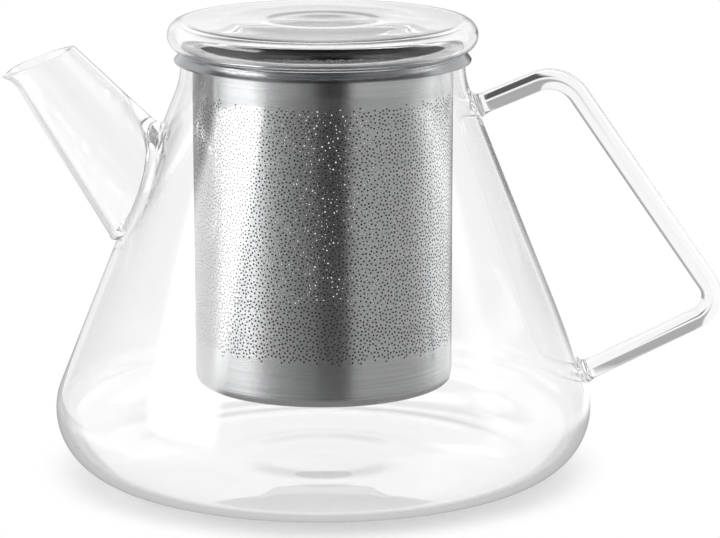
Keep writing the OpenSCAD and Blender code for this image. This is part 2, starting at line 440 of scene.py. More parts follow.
def handle_path():
    """Rings of the rod from the upper leg to the lower one: centre and direction, both as [x, z]."""
    ring_gap, bend_rings = 3, 17
    path = []
    corners = [UPPER_ROOT, UPPER_CORNER, LOWER_CORNER, LOWER_ROOT]
    runs = [b - a for a, b in zip(corners, corners[1:])]
    ways = [r / np.linalg.norm(r) for r in runs]
    cuts = []
    for bend_r, one, other in ((UPPER_BEND_R, ways[0], ways[1]), (LOWER_BEND_R, ways[1], ways[2])):
        turn = math.acos(float(one @ other))
        cuts.append((bend_r, turn, bend_r * math.tan(turn / 2)))
    starts = [UPPER_ROOT + UPPER_WELD_END * ways[0]]
    ends = []
    for k, (_, _, cut) in enumerate(cuts):
        ends.append(corners[k + 1] - cut * ways[k])
        starts.append(corners[k + 1] + cut * ways[k + 1])
    ends.append(LOWER_ROOT - LOWER_WELD_END * ways[2])
    for k in range(3):
        count = max(2, int(np.linalg.norm(ends[k] - starts[k]) / ring_gap))
        for w in np.linspace(0, 1, count + 1):
            path.append((starts[k] + w * (ends[k] - starts[k]), ways[k]))
        if k < 2:
            bend_r, turn, _ = cuts[k]
            inward = np.array([ways[k][1], -ways[k][0]])
            middle = ends[k] + bend_r * inward
            for a in np.linspace(0, turn, bend_rings)[1:-1]:
                spoke = -inward * math.cos(a) + ways[k] * math.sin(a)
                way = ways[k] * math.cos(a) + inward * math.sin(a)
                path.append((middle + bend_r * spoke, way))
    return path, ways


def welded_spout(skin, outer, inner):
    """The spout's skin: a weld on the outside wall, up to the mouth, over it and down to the inside wall.

    Returns its two edges, each as places on the wall with the points of the skin.
    """
    columns, climb_rings = 112, 27
    climb = 1 - (1 - np.linspace(0, 1, climb_rings)[1:]) ** 1.5
    root = (SPOUT_ROOT_FROM, SPOUT_ROOT_TO)
    lines, outer_loop, inner_loop = [], [], []
    for a in np.linspace(0, 2 * math.pi, columns, endpoint=False):
        below, above = max(0.0, math.cos(a)), max(0.0, -math.cos(a))
        tube, top = spout_side(a)
        end = top - MOUTH_POLISH
        along = SPOUT_WELD_ALONG + SPOUT_WELD_ALONG_ABOVE * above ** 3
        across = SPOUT_WELD_ACROSS + SPOUT_WELD_ACROSS_ABOVE * above ** 2
        across += SPOUT_WELD_ACROSS_BELOW * below ** 2
        t, place, foot = weld(outer, tube, *root, along, across, SPOUT_WELD_LIFT_BELOW * below ** 2, 8)
        outer_loop.append(place)
        rise = [tube(t + along + (end - t - along) * w) for w in climb]
        bore, _ = spout_side(a, t)
        t, place, seat = weld(inner, bore, *root, BORE_WELD_ALONG, BORE_WELD_ACROSS, 0.0, 7)
        inner_loop.append(place)
        fall = [bore(t + BORE_WELD_ALONG + (end - t - BORE_WELD_ALONG) * w) for w in climb]
        # The edge of the mouth is fire-polished to a half round.
        centre = (rise[-1] + fall[-1]) / 2
        half = (rise[-1] - fall[-1]) / 2
        up = (rise[-1] - rise[-2]) / np.linalg.norm(rise[-1] - rise[-2]) * np.linalg.norm(half)
        edge = [centre + half * math.cos(b) + up * math.sin(b) for b in np.linspace(0, math.pi, 7)[1:-1]]
        lines.append(list(foot) + rise + edge + fall[::-1] + list(seat[:-1][::-1]))
    rings = [skin.ring(points) for points in zip(*lines)]
    skin.bands(rings)
    return (outer_loop, rings[0]), (inner_loop, rings[-1])


def welded_handle(skin, outer):
    """The handle's skin: a weld at each end and the bent rod between them.

    Returns its two edges, each as places on the wall with the points of the skin.
    """
    columns = 72
    path, ways = handle_path()
    around = np.linspace(0, 2 * math.pi, columns, endpoint=False)
    loops, legs = [], []
    for root, way, out, (along, across) in ((UPPER_ROOT, ways[0], 1, UPPER_WELD),
                                            (LOWER_ROOT, ways[2], -1, LOWER_WELD)):
        loop, lines = [], []
        for a in around:
            tube = rod_side(root, way, out, a)
            _, place, foot = weld(outer, tube, -ROD_ROOT_SPAN, ROD_ROOT_SPAN, along, across, 0.0, 7)
            loop.append(place)
            lines.append(foot)
        loops.append(loop)
        legs.append(list(zip(*lines)))
    rings = [skin.ring(points) for points in legs[0]]
    for middle, way in path:
        upright = in_plane([-way[1], way[0]])
        rings.append(skin.ring([
            in_plane(middle) + ROD_R * (math.cos(a) * upright + math.sin(a) * LEVEL_ACROSS) for a in around]))
    rings += [skin.ring(points) for points in legs[1][::-1]]
    skin.bands(rings)
    return (loops[0], rings[0]), (loops[1], rings[-1])


def blown_pot(finish):
    """Body, spout and handle, melted together: one skin of glass with filleted welds."""
    columns = 224
    skin = Skin()
    outer, inner = (Wall(section) for section in pot_sections())
    angles = 2 * math.pi * (np.arange(columns) + 0.5) / columns
    grids = []
    for wall in (outer, inner):
        rings = [skin.ring([(0, 0, wall.rz[0][1])])]
        for r, z in wall.rz[1:]:
            rings.append(skin.ring([(r * math.cos(a), r * math.sin(a), z) for a in angles]))
        grids.append(rings)
    spout_out, spout_in = welded_spout(skin, outer, inner)
    upper, lower = welded_handle(skin, outer)
    outer_joints = [(*spout_out, math.pi), (*upper, 0.0), (*lower, 0.0)]
    inner_joints = [(*spout_in, math.pi)]

    # The walls, with a patch of triangles round each joint.
    for wall, grid, joints in zip((outer, inner), grids, (outer_joints, inner_joints)):
        skin.fan(grid[1], grid[0][0])
        taken = set()
        for loop, ring, facing in joints:
            taken |= joint_patch(skin, wall, grid, angles, loop, ring, facing)
        for i in range(1, len(grid) - 1):
            for j in range(columns):
                if (i, j) not in taken:
                    n = (j + 1) % columns
                    skin.faces.append((grid[i][j], grid[i][n], grid[i + 1][n], grid[i + 1][j]))
    skin.band(grids[0][-1], grids[1][-1])
    return skin.piece("glass_pot", finish, "pot", ("pot_body", "spout", "handle"))


def joint_patch(skin, wall, grid, angles, loop, ring, facing):
    """Fills the wall between its grid and the edge of a weld. Returns the cells that it takes."""
    row_gap, column_gap, point_gap = 0.6, 1.6, 0.55
    turn = [(a - facing + math.pi) % (2 * math.pi) - math.pi for a, _ in loop]
    rise = [s for _, s in loop]
    columns = len(angles)
    width = 2 * math.pi / columns
    grid_turn = [(a - facing + math.pi) % (2 * math.pi) - math.pi for a in angles]
    first_row = max(i for i, s in enumerate(wall.along) if s < min(rise) - row_gap) - 1
    last_row = min(i for i, s in enumerate(wall.along) if s > max(rise) + row_gap) + 1
    left, right = min(turn) - column_gap * width, max(turn) + column_gap * width
    order = sorted(range(columns), key=lambda j: grid_turn[j])
    order = [j for j in order if left - width < grid_turn[j] < right + width]
    scale = float(np.hypot(*wall.at(0, np.mean(rise))[:2]))
    edge = np.array([(t * scale, s) for t, s in zip(turn, rise)])
    spots, owners = [], []
    for i in range(first_row, last_row + 1):
        for j in order:
            p = np.array([grid_turn[j] * scale, wall.along[i]])
            rim = i in (first_row, last_row) or j in (order[0], order[-1])
            if rim or (not encloses(edge, p) and np.min(np.hypot(*(edge - p).T)) > point_gap):
                spots.append(p)
                owners.append(grid[i][j])
    first = len(spots)
    spots += list(edge)
    owners += ring
    kept = [(first + k, first + (k + 1) % len(ring)) for k in range(len(ring))]
    points, _, faces, origin, _, _ = delaunay_2d_cdt([Vector(p) for p in spots], kept, [], 0, 1e-6)
    for face in faces:
        if not encloses(edge, np.mean([points[v] for v in face], axis=0)):
            skin.faces.append(tuple(owners[origin[v][0]] for v in face))
    return {(i, j) for i in range(first_row, last_row) for j in order[:-1]}


def encloses(loop, p):
    """Whether a point is inside a closed line of points."""
    x, y = p[0], p[1]
    a, b = loop, np.roll(loop, -1, axis=0)
    cross = (a[:, 1] > y) != (b[:, 1] > y)
    at = a[:, 0] + (y - a[:, 1]) / np.where(cross, b[:, 1] - a[:, 1], 1) * (b[:, 0] - a[:, 0])
    return bool(np.sum(cross & (x < at)) % 2)


def lid_ripple(r):
    """A shallow dimple and faint rings, left on the lid's top where it was spun."""
    dimple = -LID_DIMPLE * math.exp(-(r / LID_DIMPLE_R) ** 2)
    ring = LID_RING * math.exp(-((r - LID_RING_R) / LID_RING_WIDTH) ** 2)
    return dimple + ring + LID_WAVE * math.cos(r / LID_WAVE_STEP)


def glass_lid(finish):
    """The hollow lid: a flat top with a rolled edge, a ledge that rests on the rim, and a skirt inside it."""
    edge = (LID_EDGE_C, LID_SEAT_Z + LID_EDGE_R)
    top = LID_SEAT_Z + 2 * LID_EDGE_R
    bend, hollow_bend, foot = LID_LEDGE_BEND_R, LID_HOLLOW_BEND_R, LID_FOOT_R
    skirt_in = LID_SKIRT_R - LID_T
    ledge_over = LID_SEAT_Z + LID_T
    foot_z = LID_SKIRT_FOOT_Z + foot
    radii = np.linspace(0, LID_EDGE_C, 64)
    section = [(r, top - LID_SAG + lid_ripple(r) + LID_SAG * min(1.0, r / LID_SAG_R)) for r in radii]
    section += arc(edge, LID_EDGE_R, 90, -90, 26)[1:]
    section += line((LID_EDGE_C, LID_SEAT_Z), (LID_SKIRT_R + bend, LID_SEAT_Z), 3)
    section += arc((LID_SKIRT_R + bend, LID_SEAT_Z - bend), bend, 90, 180, 5)[1:]
    section += line((LID_SKIRT_R, LID_SEAT_Z - bend), (LID_SKIRT_R, foot_z), 5)
    section += arc((LID_SKIRT_R - foot, foot_z), foot, 0, -180, 8)[1:]
    section += line((skirt_in, foot_z), (skirt_in, ledge_over - hollow_bend), 6)
    section += arc((skirt_in + hollow_bend, ledge_over - hollow_bend), hollow_bend, 180, 90, 6)[1:]
    section += line((skirt_in + hollow_bend, ledge_over), (LID_EDGE_C, ledge_over), 3)
    section += arc(edge, LID_EDGE_R - LID_T, -90, 90, 18)[1:]
    # The underside follows the top, a little shallower and further in.
    share, shift = 0.8, 0.6
    section += [(r, top - LID_T + share * lid_ripple(r + shift)) for r in radii[::-1][1:]]
    skin = Skin()
    turned(skin, section, 192, closed=False)
    return skin.piece("glass_lid", finish, "lid", ("lid",))


def scatter(width, height, spacing, rings, rng, keep):
    """Points spread evenly but not in rows, none nearer than spacing, with small rings of points among them.

    A ring's middle stays bare. The sizes of the rings and the gaps along them are multiples of the spacing.
    """
    smallest_ring, largest_ring, ring_gap, tries_each = 0.9, 1.45, 1.04, 24
    tries = int(tries_each * width * height / spacing ** 2)
    cell = spacing / math.sqrt(2)
    taken, found, bare, clear = {}, [], [], set()

    def place(x, y):
        i, j = int(x // cell), int(y // cell)
        if (i, j) in taken or not keep(x, y):
            return
        near = [taken.get((i + p, j + q)) for p in (-2, -1, 0, 1, 2) for q in (-2, -1, 0, 1, 2)]
        if all(n is None or (n[0] - x) ** 2 + (n[1] - y) ** 2 >= spacing ** 2 for n in near):
            taken[(i, j)] = (x, y)
            found.append((x, y))

    for _ in range(rings):
        x, y = rng.uniform(0, width), rng.uniform(0, height)
        r = spacing * rng.uniform(smallest_ring, largest_ring)
        if any((x - a) ** 2 + (y - b) ** 2 < (r + q + spacing) ** 2 for a, b, q in bare):
            continue
        bare.append((x, y, r))
        count = int(2 * math.pi * r / (ring_gap * spacing))
        start = rng.uniform(0, 2 * math.pi)
        for k in range(count):
            turn = start + 2 * math.pi * k / count
            place(x + r * math.cos(turn), y + r * math.sin(turn))
        reach = int(r / cell) + 1
        for i in range(int(x / cell) - reach, int(x / cell) + reach + 1):
            for j in range(int(y / cell) - reach, int(y / cell) + reach + 1):
                if math.hypot((i + 0.5) * cell - x, (j + 0.5) * cell - y) < r:
                    clear.add((i, j))
    for _ in range(tries):
        x, y = rng.uniform(0, width), rng.uniform(0, height)
        if (int(x // cell), int(y // cell)) not in clear:
            place(x, y)
    return found


def pierced_sheet(skin, outline, plain, holes, outer_at, inner_at):
    """A thin sheet with holes: the same triangles on both faces, and a wall round each hole.

    The plain points keep the bare parts of the sheet round. Returns the outline's points on both faces.
    """
    spots = [Vector(p) for p in outline + plain]
    loops = []
    for n, (x, y) in enumerate(holes):
        first = len(spots)
        for k in range(HOLE_CORNERS):
            a = n * HOLE_TURN + 2 * math.pi * k / HOLE_CORNERS
            spots.append(Vector((x + HOLE_R * math.cos(a), y + HOLE_R * math.sin(a))))
        loops.append(list(range(first, first + HOLE_CORNERS)))
    count = len(outline)
    edges = [(k, (k + 1) % count) for k in range(count)]
    cut = delaunay_2d_cdt(spots, edges, [tuple(loop) for loop in loops], 0, 1e-7)
    _, _, faces, origin, _, made_of = cut
    owner = [o[0] for o in origin]
    outer = skin.ring([outer_at(p[0], p[1]) for p in spots])
    inner = skin.ring([inner_at(p[0], p[1]) for p in spots])
    for face, holes_here in zip(faces, made_of):
        if not holes_here:
            skin.faces.append(tuple(outer[owner[v]] for v in face))
            skin.faces.append(tuple(inner[owner[v]] for v in reversed(face)))
    for loop in loops:
        skin.band([outer[v] for v in loop[::-1]], [inner[v] for v in loop[::-1]])
    return outer[:count], inner[:count]


def finish_inside(made, inside, is_inside):
    """Gives the faces on the inside of a piece their own finish."""
    made.data.materials.append(inside)
    for face in made.data.polygons:
        if is_inside(face):
            face.material_index = 1


def strainer_wall(finish, inside):
    """The rolled tube with its etched holes, plain at both ends: two half sheets that meet at the sides."""
    rng = random.Random(11)
    columns, rows = 108, 60
    width, height = math.pi * TUBE_R, TUBE_TOP_Z - PAN_TOP_Z
    low, high = HOLES_FROM_Z - PAN_TOP_Z, HOLES_TO_Z - PAN_TOP_Z
    side_margin, skin_depth = 0.6, 0.2
    step, lift = width / columns, height / rows
    outline = [(k * step, 0.0) for k in range(columns)]
    outline += [(width, k * lift) for k in range(rows)]
    outline += [(width - k * step, height) for k in range(columns)]
    outline += [(0.0, height - k * lift) for k in range(rows)]
    plain_rows = (2.4, 4.8, low - 1.5, high + 1.5, high + 3.6, high + 6.6)
    plain = [(k * step, y) for y in plain_rows for k in range(1, columns)]

    def etched(x, y):
        # The etched field ends in a ragged line.
        ragged = 1.5 + math.sin(1.3 * x) * math.sin(0.47 * x + 1) + 0.5 * math.sin(2.9 * x)
        return side_margin < x < width - side_margin and min(y - low, high - y) > ragged

    def on_tube(r, start):
        def at(x, y):
            turn = start + x / TUBE_R
            return r * math.cos(turn), r * math.sin(turn), PAN_TOP_Z + y

        return at

    def gets_painted_shade(face):
        return math.hypot(face.center[0], face.center[1]) < (TUBE_R - skin_depth) * MM

    for name, start in (("strainer_wall_front", math.pi), ("strainer_wall_back", 0.0)):
        skin = Skin()
        holes = scatter(width, height, TUBE_HOLE_STEP, TUBE_HOLE_RINGS, rng, etched)
        outer_at, inner_at = on_tube(TUBE_R, start), on_tube(TUBE_R - SHEET_T, start)
        skin.band(*pierced_sheet(skin, outline, plain, holes, outer_at, inner_at))
        made = skin.piece(name, finish, "strainer", ("infuser_wall",), crease=40)
        # The inside faces take the much darker steel: painted shade inside the tube.
        finish_inside(made, inside, gets_painted_shade)


def strainer_base(finish, inside):
    """The pressed pan that closes the tube, pierced underneath."""
    skin = Skin()
    columns, facing_up = 144, 0.3
    turns = 2 * math.pi * np.arange(columns) / columns
    size = 2 * PAN_FLOOR_R

    def on_floor(x, y):
        return math.hypot(x - PAN_FLOOR_R, y - PAN_FLOOR_R) < PAN_HOLES_R

    spread = scatter(size, size, PAN_HOLE_STEP, PAN_HOLE_RINGS, random.Random(5), on_floor)
    holes = [(x - PAN_FLOOR_R, y - PAN_FLOOR_R) for x, y in spread]
    outline = [(PAN_FLOOR_R * math.sin(a), PAN_FLOOR_R * math.cos(a)) for a in turns]
    edges = pierced_sheet(skin, outline, [], holes,
                          lambda x, y: (x, y, BASE_Z), lambda x, y: (x, y, BASE_Z + SHEET_T))
    centre = (TUBE_R - PAN_ROUND_R, BASE_Z + PAN_ROUND_R)
    ends = []
    for edge, inset, steps in ((edges[0], 0.0, 12), (edges[1], SHEET_T, 10)):
        side_r = TUBE_R - inset
        section = arc(centre, PAN_ROUND_R - inset, -90, 0, steps)
        section += line((side_r, centre[1]), (side_r, PAN_TOP_Z - PAN_GAP), 3)
        rings = [edge]
        rings += [skin.ring([(r * math.sin(a), r * math.cos(a), z) for a in turns]) for r, z in section]
        skin.bands(rings)
        ends.append(rings[-1])
    skin.band(*ends)
    made = skin.piece("strainer_base", finish, "strainer", ("infuser_base",), crease=40)
    # The pan's upward faces take the much darker steel: painted shade inside the strainer.
    finish_inside(made, inside, lambda face: face.normal[2] > facing_up)
    return made


def strainer_rim(finish):
    """The turned-over rim: out of the tube, flat over the lip of the glass and down in a sloping skirt."""
    half = RIM_T / 2
    tube_r = TUBE_R - SHEET_T + half
    top = RIM_TOP_Z - half
    inner_bend, outer_bend = RIM_INNER_BEND_R, RIM_OUTER_BEND_R
    slope = math.atan2(RIM_TOP_Z - RIM_FOOT_Z, RIM_FOOT_R - RIM_FLAT_R)
    middle = [(tube_r, TUBE_TOP_Z)]
    middle += arc((tube_r + inner_bend, top - inner_bend), inner_bend, 180, 90, 5)
    middle += arc((RIM_FLAT_R - outer_bend, top - outer_bend), outer_bend, 90, 90 - math.degrees(slope), 5)
    down = np.array([math.cos(slope), -math.sin(slope)])
    reach = (top - RIM_FOOT_Z - RIM_TIP) / math.sin(slope)
    middle += line(middle[-1], tuple(np.array(middle[-1]) + down * (reach - RIM_TIP)), 4)
    middle = np.array(middle)
    way = np.gradient(middle, axis=0)
    way /= np.linalg.norm(way, axis=1)[:, None]
    out = np.stack([-way[:, 1], way[:, 0]], axis=1) * half
    tip = middle[-1] + way[-1] * RIM_TIP
    section = [tuple(p) for p in [*(middle + out), tip, *(middle - out)[::-1]]]
    skin = Skin()
    turned(skin, section, 192)
    return skin.piece("strainer_rim", finish, "strainer", ("infuser_rim",), crease=50)


def new_material(name):
    finish = bpy.data.materials.new(name)
    finish.use_nodes = True
    tree = finish.node_tree
    tree.nodes.clear()
    return finish, tree, add_node(tree, "ShaderNodeOutputMaterial")


def clear_borosilicate():
    """Blown borosilicate glass, fire-polished: clear, faintly grey in depth, with long slight waves."""
    finish, tree, out = new_material("clear_borosilicate_glass")
    place = add_node(tree, "ShaderNodeTexCoord").outputs["Object"]
    # Waves about 22 mm long and a few hundredths of a millimetre high, from blowing and spinning.
    waves = add_node(tree, "ShaderNodeTexNoise", {
        "Scale": 1 / 0.022, "Detail": 1.0, "Roughness": 0.4,
    }, Vector=place)
    bump = add_node(tree, "ShaderNodeBump", {"Strength": 0.5, "Distance": 0.00005},
                    Height=waves.outputs["Fac"])
    glass = add_node(tree, "ShaderNodeBsdfPrincipled", {
        "Base Color": linear("#FEFEFE"), "Roughness": 0.0, "IOR": 1.47, "Transmission Weight": 1.0,
    }, Normal=bump.outputs["Normal"])
    depth = add_node(tree, "ShaderNodeVolumeAbsorption", {"Color": linear("#CCCCCC"), "Density": 5.0})
    # Light caught in the thickness of a wall leaves it after a few bounces, as at the flaws of real glass.
    mirrorings = add_node(tree, "ShaderNodeLightPath").outputs["Glossy Depth"]
    caught = add_node(tree, MATH, {"operation": "GREATER_THAN", 1: CAUGHT_AFTER}, i0=mirrorings)
    leave = add_node(tree, "ShaderNodeBsdfTransparent")
    mixed = add_node(tree, "ShaderNodeMixShader",
                     i0=caught.outputs[0], i1=glass.outputs["BSDF"], i2=leave.outputs["BSDF"])
    tree.links.new(mixed.outputs["Shader"], out.inputs["Surface"])
    tree.links.new(depth.outputs["Volume"], out.inputs["Volume"])
    return finish


def steel_sheet(name, dark, pale, smooth, rough, stretch):
    """Stainless sheet with level brush lines, which stretch reflections upright."""
    finish, tree, out = new_material(name)
    place = add_node(tree, "ShaderNodeTexCoord").outputs["Object"]
    # Real brush lines are under 0.1 mm apart; these are 0.4 mm so that they show, and about 40 mm long.
    drawn = add_node(tree, "ShaderNodeMapping", {"Scale": (1 / 0.04, 1 / 0.04, 1 / 0.0004)}, Vector=place)
    lines = add_node(tree, "ShaderNodeTexNoise", {"Scale": 1.0, "Detail": 2.0, "Roughness": 0.6},
                     Vector=drawn.outputs["Vector"])
    tone = add_node(tree, RAMP, Fac=lines.outputs["Fac"])
    for element, stop, colour in zip(tone.color_ramp.elements, (0.3, 0.7), (dark, pale)):
        element.position = stop
        element.color = linear(colour)
    grain = add_node(tree, FADE, {"From Min": 0.3, "From Max": 0.7, "To Min": smooth, "To Max": rough},
                     Value=lines.outputs["Fac"])
    round_z = add_node(tree, "ShaderNodeTangent", {"direction_type": "RADIAL", "axis": "Z"})
    steel = add_node(tree, "ShaderNodeBsdfPrincipled", {
        "Metallic": 1.0, "Anisotropic": stretch, "Anisotropic Rotation": 0.25,
    }, Base_Color=tone.outputs["Color"], Roughness=grain.outputs["Result"],
        Tangent=round_z.outputs["Tangent"])
    tree.links.new(steel.outputs["BSDF"], out.inputs["Surface"])
    return finish


def level_stops(node, stops):
    """Sets a colour ramp to grey levels at the given places."""
    elements = node.color_ramp.elements
    while len(elements) < len(stops):
        elements.new(0.5)
    for element, (place, level) in zip(elements, stops):
        element.position = place
        element.color = grey(level)


def panel_ring(tree, x, y):
    """The panels and the soft boxes round the pot, as grey levels by the turn about its axis."""
    front = add_node(tree, MATH, {**TIMES, 1: -1.0}, i0=y)
    turn = add_node(tree, MATH, {"operation": "ARCTAN2"}, i0=x, i1=front.outputs[0])
    share = add_node(tree, MATH, {"operation": "MULTIPLY_ADD", 1: 0.5 / math.pi, 2: 0.5}, i0=turn.outputs[0])
    rings = []
    for levels in (PANELS, BOXES):
        ring = add_node(tree, RAMP, Fac=share.outputs[0])
        level_stops(ring, [(angle / 360 + 0.5, level) for angle, level in levels])
        rings.append(ring.outputs["Color"])
    return rings


def edge_boards(tree, x, z):
    """Two boards that lean behind the pot, in white, the right one darker. They draw the glass's edges."""
    aside = add_node(tree, MATH, {"operation": "ABSOLUTE"}, i0=x)
    lean = add_node(tree, MATH, {"operation": "MULTIPLY_ADD", 1: -0.38}, i0=aside.outputs[0], i2=z)
    length = add_node(tree, MATH, {"operation": "ADD", 1: 0.5}, i0=lean.outputs[0])
    board = add_node(tree, RAMP, Fac=length.outputs[0])
    level_stops(board, [(0, 0.35), (0.272, 0.35), (0.295, 1), (0.345, 1), (0.38, 0), (1, 0)])
    width = add_node(tree, RAMP, Fac=aside.outputs[0])
    level_stops(width, [(0, 0.3), (0.05, 1), (0.34, 1), (0.42, 0), (1, 0)])
    shape = add_node(tree, MATH, TIMES, i0=board.outputs["Color"], i1=width.outputs["Color"])
    shade = add_node(tree, FADE, {"From Min": -0.02, "From Max": 0.02, "To Min": 0.65, "To Max": 0.05},
                     Value=x)
    boards = add_node(tree, MIX, {**COLOUR, 6: grey(0.85)}, i0=shape.outputs[0], i7=shade.outputs["Result"])
    return boards.outputs[2]


def mirrored_studio(tree, x, y, z, inside, bare):
    """What metal and glass mirror: panels low down, soft boxes higher up and a broad one overhead."""
    panels, boxes = panel_ring(tree, x, y)
    # Light that was mirrored inside the glass meets the boards behind the pot.
    back = add_node(tree, FADE, {"From Min": 0.0, "From Max": 0.4}, Value=y)
    drawn = add_node(tree, MATH, TIMES, i0=inside, i1=back.outputs["Result"])
    edged = add_node(tree, MIX, COLOUR, i0=drawn.outputs[0], i6=panels, i7=edge_boards(tree, x, z))
    # Outer surfaces also mirror the white to both sides of the pot.
    left = add_node(tree, FADE, {"From Min": -0.1, "From Max": -0.35}, Value=x)
    right = add_node(tree, FADE, {"From Min": 0.35, "From Max": 0.5}, Value=x)
    side = add_node(tree, MATH, {"operation": "ADD"}, i0=left.outputs["Result"], i1=right.outputs["Result"])
    sheen = add_node(tree, MATH, TIMES, i0=bare, i1=side.outputs[0])
    low = add_node(tree, MIX, {**COLOUR, 7: grey(1.1)}, i0=sheen.outputs[0], i6=edged.outputs[2])
    # The two bright boxes hang above a dimmer band, so that the lid's flat top doesn't glare.
    band = add_node(tree, MIX, {**COLOUR, "blend_type": "DARKEN", 0: 1.0, 7: grey(BOX_DIM)}, i6=boxes)
    hung = add_node(tree, FADE, {"From Min": 0.29, "From Max": 0.35}, Value=z)
    lit = add_node(tree, MIX, COLOUR, i0=hung.outputs["Result"], i6=band.outputs[2], i7=boxes)
    raised = add_node(tree, FADE, {"From Min": 0.10, "From Max": 0.18}, Value=z)
    ring = add_node(tree, MIX, COLOUR, i0=raised.outputs["Result"], i6=low.outputs[2], i7=lit.outputs[2])
    # Over the boxes the panels go on, much darker, up to the box overhead.
    dark = add_node(tree, MIX, {**COLOUR, "blend_type": "MULTIPLY", 0: 1.0, 7: grey(0.28)}, i6=panels)
    high = add_node(tree, FADE, {"From Min": 0.5, "From Max": 0.64}, Value=z)
    ceiling = add_node(tree, MIX, COLOUR, i0=high.outputs["Result"], i6=ring.outputs[2], i7=dark.outputs[2])
    overhead = add_node(tree, FADE, {"From Min": 0.80, "From Max": 0.88}, Value=z)
    rear = add_node(tree, FADE, {"From Min": 0.06, "From Max": 0.16}, Value=y)
    box = add_node(tree, MATH, TIMES, i0=overhead.outputs["Result"], i1=rear.outputs["Result"])
    boxed = add_node(tree, MIX, {**COLOUR, 7: grey(3.0)}, i0=box.outputs[0], i6=ceiling.outputs[2])
    return boxed.outputs[2]


def white_behind(tree, x, z, inside):
    """What glass shows behind it: white, and a tilted strip and a card that draw the handle's solid rod."""
    # The strip is grey far up and dark low down.
    tilt = add_node(tree, MATH, {"operation": "MULTIPLY_ADD", 1: -0.6}, i0=x, i2=z)
    above = add_node(tree, FADE, {"From Min": -0.23, "From Max": -0.16, "To Min": 1.0, "To Max": 0.42},
                     Value=tilt.outputs[0])
    under = add_node(tree, FADE, {"From Min": -0.29, "From Max": -0.35}, Value=tilt.outputs[0])
    deep = add_node(tree, FADE, {"From Min": -0.23, "From Max": -0.28}, Value=z)
    foot = add_node(tree, MATH, TIMES, i0=under.outputs["Result"], i1=deep.outputs["Result"])
    drop = add_node(tree, MIX, {**COLOUR, 7: grey(0.1)}, i0=foot.outputs[0], i6=above.outputs["Result"])
    across = add_node(tree, MATH, {"operation": "MULTIPLY_ADD", 1: 0.42}, i0=z, i2=x)
    off = add_node(tree, MATH, {"operation": "ABSOLUTE"}, i0=across.outputs[0])
    strip = add_node(tree, FADE, {"From Min": 0.1, "From Max": 0.05}, Value=off.outputs[0])
    rod = add_node(tree, MATH, TIMES, i0=strip.outputs["Result"], i1=inside)
    striped = add_node(tree, MIX, {**COLOUR, 6: grey(1)}, i0=rod.outputs[0], i7=drop.outputs[2])
    # The card stands far to the right and draws the edge of the grip.
    card = add_node(tree, FADE, {"From Min": 0.54, "From Max": 0.66, "To Max": 0.6}, Value=x)
    grip = add_node(tree, MATH, TIMES, i0=card.outputs["Result"], i1=inside)
    carded = add_node(tree, MIX, {**COLOUR, 7: grey(0.05)}, i0=grip.outputs[0], i6=striped.outputs[2])
    return carded.outputs[2]


def white_studio():
    """White surroundings, plain to the eye, with the panels, boxes and boards that glass and metal need."""
    world = bpy.data.worlds.new("white_studio")
    bpy.context.scene.world = world
    world.use_nodes = True
    world.cycles.sampling_method = "NONE"
    tree = world.node_tree
    tree.nodes.clear()
    way = add_node(tree, "ShaderNodeTexCoord").outputs["Generated"]
    x, y, z = add_node(tree, "ShaderNodeSeparateXYZ", Vector=way).outputs
    light = add_node(tree, "ShaderNodeLightPath").outputs
    passed = light["Transmission Depth"]
    inside = add_node(tree, MATH, {"operation": "COMPARE", 1: IN_GLASS, 2: 0.5}, i0=passed).outputs[0]
    bare = add_node(tree, MATH, {"operation": "LESS_THAN", 1: 0.5}, i0=passed).outputs[0]
    mirrored = mirrored_studio(tree, x, y, z, inside, bare)
    behind = white_behind(tree, x, z, inside)
    bounced = add_node(tree, MATH, {"operation": "GREATER_THAN", 1: 0.5}, i0=light["Glossy Depth"])
    seen = add_node(tree, MIX, COLOUR, i0=bounced.outputs[0], i6=behind, i7=mirrored)
    plain = add_node(tree, MIX, {**COLOUR, 7: grey(1)}, i0=light["Is Camera Ray"], i6=seen.outputs[2])
    spread = add_node(tree, MIX, {**COLOUR, 7: grey(0.4)}, i0=light["Is Diffuse Ray"], i6=plain.outputs[2])
    glow = add_node(tree, "ShaderNodeBackground", {"Strength": 1.0}, Color=spread.outputs[2])
    out = add_node(tree, "ShaderNodeOutputWorld")
    tree.links.new(glow.outputs["Background"], out.inputs["Surface"])


